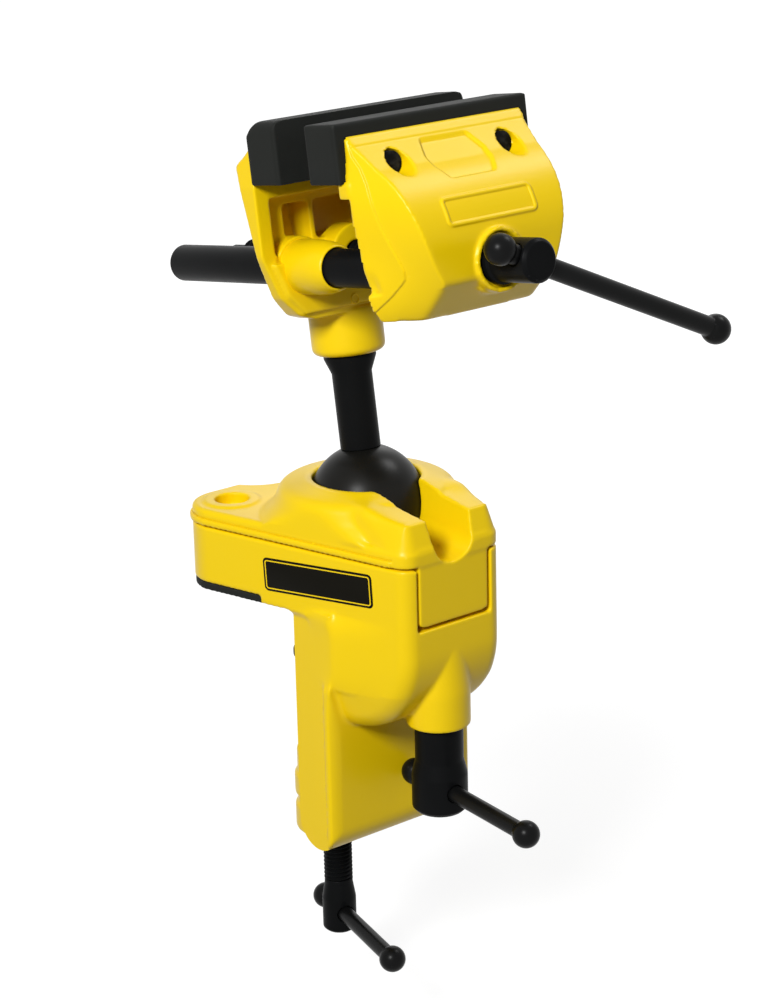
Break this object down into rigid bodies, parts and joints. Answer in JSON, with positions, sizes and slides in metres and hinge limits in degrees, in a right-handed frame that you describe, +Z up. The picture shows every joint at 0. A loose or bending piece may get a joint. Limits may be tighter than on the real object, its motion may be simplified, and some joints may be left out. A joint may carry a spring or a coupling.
{
  "type": "bench vise",
  "caption": "Small multi-angle bench vise: padded jaws on a post and ball, held by a table-edge clamp, with three T-bar screws.",
  "frame": {"origin": "on the tabletop plane, at the column's inner face, mid-width: the middle of the front edge of the table pad's underside", "axes": "+Z up, +X along the table edge to the right seen from the front jaw, +Y into the table, away from the front jaw"},
  "size_m": [0.1189, 0.1575, 0.2966],
  "materials": {
    "yellow_casting": "yellow powder coat, semi-gloss, over a die casting",
    "black_steel": "blackened turned steel, satin",
    "black_ball": "blackened steel ball, satin sheen",
    "rubber": "moulded rubber, matt"
  },
  "bodies": {
    "base": {"clamp_body": "yellow_casting", "table_pad": "rubber"},
    "cover": {"ball_cover": "yellow_casting"},
    "lock_screw_body": {"lock_screw": "black_steel"},
    "lock_handle": {"lock_bar": "black_steel", "lock_bar_ball": "black_steel"},
    "swivel": {"clamp_swivel": "black_steel"},
    "clamp_screw_body": {"clamp_screw": "black_steel"},
    "clamp_handle": {"clamp_bar": "black_steel", "clamp_bar_ball": "black_steel"},
    "ball_body": {"ball": "black_ball"},
    "head": {"post": "black_steel", "rear_jaw": "yellow_casting", "rear_pad": "rubber", "rear_pad_screw_left": "black_steel", "rear_pad_screw_right": "black_steel"},
    "moving_jaw": {"front_jaw": "yellow_casting", "front_pad": "rubber", "front_pad_screw_left": "black_steel", "front_pad_screw_right": "black_steel", "guide_rod_left": "black_steel", "guide_rod_right": "black_steel"},
    "lead_screw_body": {"lead_screw": "black_steel", "screw_clip": "black_steel"},
    "main_handle": {"main_bar": "black_steel", "main_bar_ball": "black_steel"}
  },
  "joints": [
    {"name": "lock_turn", "type": "hinge", "parent": "base", "child": "lock_screw_body", "pos_m": [0, -0.0384, -0.05], "axis": [0, 0, -1], "range_deg": [0, 110]},
    {"name": "cover_rock", "type": "hinge", "parent": "base", "child": "cover", "pos_m": [0, 0.0378, 0.0221], "axis": [-1, 0, 0], "range_deg": [0, 0.35]},
    {"name": "lock_bar_slide", "type": "slide", "parent": "lock_screw_body", "child": "lock_handle", "axis": [-0.0924, -0.9957, 0], "range_m": [-0.0004, 0.0005]},
    {"name": "clamp_travel", "type": "slide", "parent": "base", "child": "swivel", "axis": [0, 0, 1], "range_m": [-0.026, 0.02]},
    {"name": "clamp_turn", "type": "hinge", "parent": "swivel", "child": "clamp_screw_body", "pos_m": [0, 0.0175, -0.1], "axis": [0, 0, 1], "range_deg": [-6300, 4860]},
    {"name": "clamp_bar_slide", "type": "slide", "parent": "clamp_screw_body", "child": "clamp_handle", "axis": [-0.2419, -0.9703, 0], "range_m": [-0.0325, 0.0011]},
    {"name": "ball_tilt", "type": "hinge", "parent": "base", "child": "ball_body", "pos_m": [0, -0.004, 0.0314], "axis": [1, 0, 0], "range_deg": [-34, 84]},
    {"name": "head_spin", "type": "hinge", "parent": "ball_body", "child": "head", "pos_m": [0, -0.004, 0.0314], "axis": [0, 0.1449, 0.9895], "continuous": true},
    {"name": "jaw_travel", "type": "slide", "parent": "head", "child": "moving_jaw", "axis": [0, -0.9895, 0.1449], "range_m": [-0.0145, 0.048]},
    {"name": "lead_turn", "type": "hinge", "parent": "moving_jaw", "child": "lead_screw_body", "pos_m": [0, -0.07139, 0.12333], "axis": [0, -0.9895, 0.1449], "range_deg": [-1745, 5765]},
    {"name": "main_bar_slide", "type": "slide", "parent": "lead_screw_body", "child": "main_handle", "axis": [0.9092, -0.0603, -0.4119], "range_m": [-0.0695, 0.0002]}
  ],
  "couplings": [
    {"joint": "cover_rock", "follows": "lock_turn", "ratio": 0.003133},
    {"joint": "clamp_turn", "follows": "clamp_travel", "rad_per_m": 4188.8},
    {"joint": "lead_turn", "follows": "jaw_travel", "rad_per_m": 2094.4}
  ]
}
